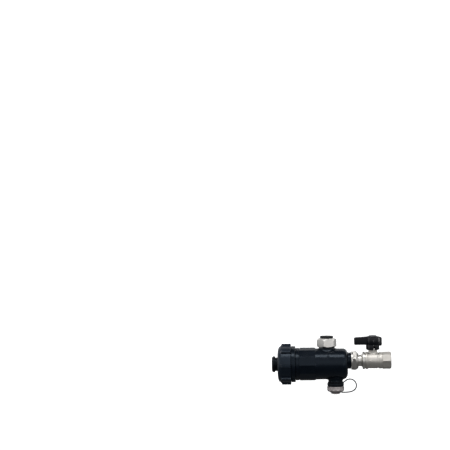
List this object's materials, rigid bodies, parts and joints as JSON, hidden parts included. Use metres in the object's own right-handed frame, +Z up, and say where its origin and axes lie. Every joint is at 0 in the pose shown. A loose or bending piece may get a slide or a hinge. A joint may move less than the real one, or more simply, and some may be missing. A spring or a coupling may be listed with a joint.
{
  "type": "magnetic system filter",
  "caption": "Under-boiler magnetic dirt filter: black cylindrical body with screw-ring cap and pull-out magnet, swivel boiler union, ball valve and capped drain.",
  "frame": {"origin": "centre of the sealing face of the gasket on the boiler port, at its top", "axes": "+Z up out of the boiler port, +X along the filter body from the magnet knob towards the ball valve, -Y the front"},
  "size_m": [0.2159, 0.0742, 0.1062],
  "materials": {
    "moulded_body": "fine-grained black reinforced nylon with a satin sheen",
    "moulded_cap": "satin black nylon, slightly smoother than the body",
    "lever_plastic": "smooth glossy black nylon",
    "grey_plastic": "satin dark grey plastic",
    "nickel": "satin nickel-plated brass",
    "cap_nickel": "dull nickel-plated brass, slightly warm",
    "ball_chrome": "polished chromed ball",
    "brass": "turned brass",
    "steel": "stainless steel",
    "magnet": "nickel-coated sintered magnet",
    "rubber": "black peroxide-cured rubber",
    "ptfe": "white low-friction seal material"
  },
  "bodies": {
    "filter_body": {"housing": "moulded_body", "boiler_tail": "moulded_body", "boiler_tail_oring": "rubber", "boiler_gasket": "rubber", "outlet_gasket": "rubber", "valve_tail": "nickel", "valve_tail_oring": "rubber", "valve_body": "nickel", "seat_left": "ptfe", "seat_right": "ptfe", "stem_packing": "ptfe", "gland_nut": "brass", "drain_body": "moulded_body", "drain_body_oring": "rubber", "tether_top_ring": "moulded_cap", "tether_strap": "moulded_cap"},
    "cover_unit": {"cover": "moulded_cap", "cover_oring": "rubber", "strainer_frame": "moulded_cap", "strainer_mesh": "steel", "strainer_seal": "rubber"},
    "cover_ring": {"ring_nut": "moulded_cap"},
    "magnet_cartridge": {"magnet_knob": "moulded_cap", "knob_oring": "rubber", "magnet_rod": "steel", "ring_magnets": "magnet", "pole_discs": "steel", "rod_nut": "steel"},
    "boiler_nut_carrier": {"boiler_slip_ring": "brass"},
    "boiler_union": {"boiler_nut": "nickel"},
    "valve_nut_carrier": {"valve_slip_ring": "brass"},
    "valve_union": {"valve_nut": "nickel"},
    "lever": {"handle": "lever_plastic", "handle_screw": "steel", "handle_cap": "grey_plastic", "stem": "brass", "ball": "ball_chrome"},
    "cap_carrier": {"tether_cap_ring": "moulded_cap"},
    "cap": {"drain_cap": "cap_nickel", "drain_cap_seal": "rubber"},
    "seal_carrier": {"drain_seal": "rubber"},
    "spindle": {"drain_spindle": "brass"}
  },
  "joints": [
    {"name": "cover_travel", "type": "slide", "parent": "filter_body", "child": "cover_unit", "axis": [-1, 0, 0], "range_m": [0, 0.012]},
    {"name": "ring_nut_turn", "type": "hinge", "parent": "cover_unit", "child": "cover_ring", "pos_m": [-0.076, 0, -0.0505], "axis": [-1, 0, 0], "range_deg": [0, 1080.5]},
    {"name": "magnet_pull", "type": "slide", "parent": "cover_unit", "child": "magnet_cartridge", "axis": [-1, 0, 0], "range_m": [0, 0.1]},
    {"name": "boiler_nut_lift", "type": "slide", "parent": "filter_body", "child": "boiler_nut_carrier", "axis": [0, 0, 1], "range_m": [0, 0.0125]},
    {"name": "boiler_nut_spin", "type": "hinge", "parent": "boiler_nut_carrier", "child": "boiler_union", "pos_m": [0, 0, -0.0125], "axis": [0, 0, 1], "continuous": true},
    {"name": "valve_nut_travel", "type": "slide", "parent": "filter_body", "child": "valve_nut_carrier", "axis": [1, 0, 0], "range_m": [0, 0.00498]},
    {"name": "valve_nut_turn", "type": "hinge", "parent": "valve_nut_carrier", "child": "valve_union", "pos_m": [0.05, 0, -0.0449], "axis": [1, 0, 0], "range_deg": [0, 989]},
    {"name": "lever_turn", "type": "hinge", "parent": "filter_body", "child": "lever", "pos_m": [0.0829, 0, -0.0449], "axis": [0, 0, 1], "range_deg": [0, 90]},
    {"name": "cap_travel", "type": "slide", "parent": "filter_body", "child": "cap_carrier", "axis": [0, 0, -1], "range_m": [0, 0.00907], "deforming": ["tether_strap"]},
    {"name": "cap_turn", "type": "hinge", "parent": "cap_carrier", "child": "cap", "pos_m": [0.015, 0, -0.0955], "axis": [0, 0, -1], "range_deg": [0, 1800.5]},
    {"name": "drain_seal_travel", "type": "slide", "parent": "filter_body", "child": "seal_carrier", "axis": [0, 0, -1], "range_m": [0, 0.0025]},
    {"name": "drain_spindle_turn", "type": "hinge", "parent": "seal_carrier", "child": "spindle", "pos_m": [0.015, 0, -0.0875], "axis": [0, 0, -1], "range_deg": [0, 720.5]}
  ],
  "couplings": [
    {"joint": "ring_nut_turn", "follows": "cover_travel", "rad_per_m": 1570.8},
    {"joint": "valve_nut_turn", "follows": "valve_nut_travel", "rad_per_m": 3463.7},
    {"joint": "cap_turn", "follows": "cap_travel", "rad_per_m": 3463.7},
    {"joint": "drain_spindle_turn", "follows": "drain_seal_travel", "rad_per_m": 5026.5}
  ]
}
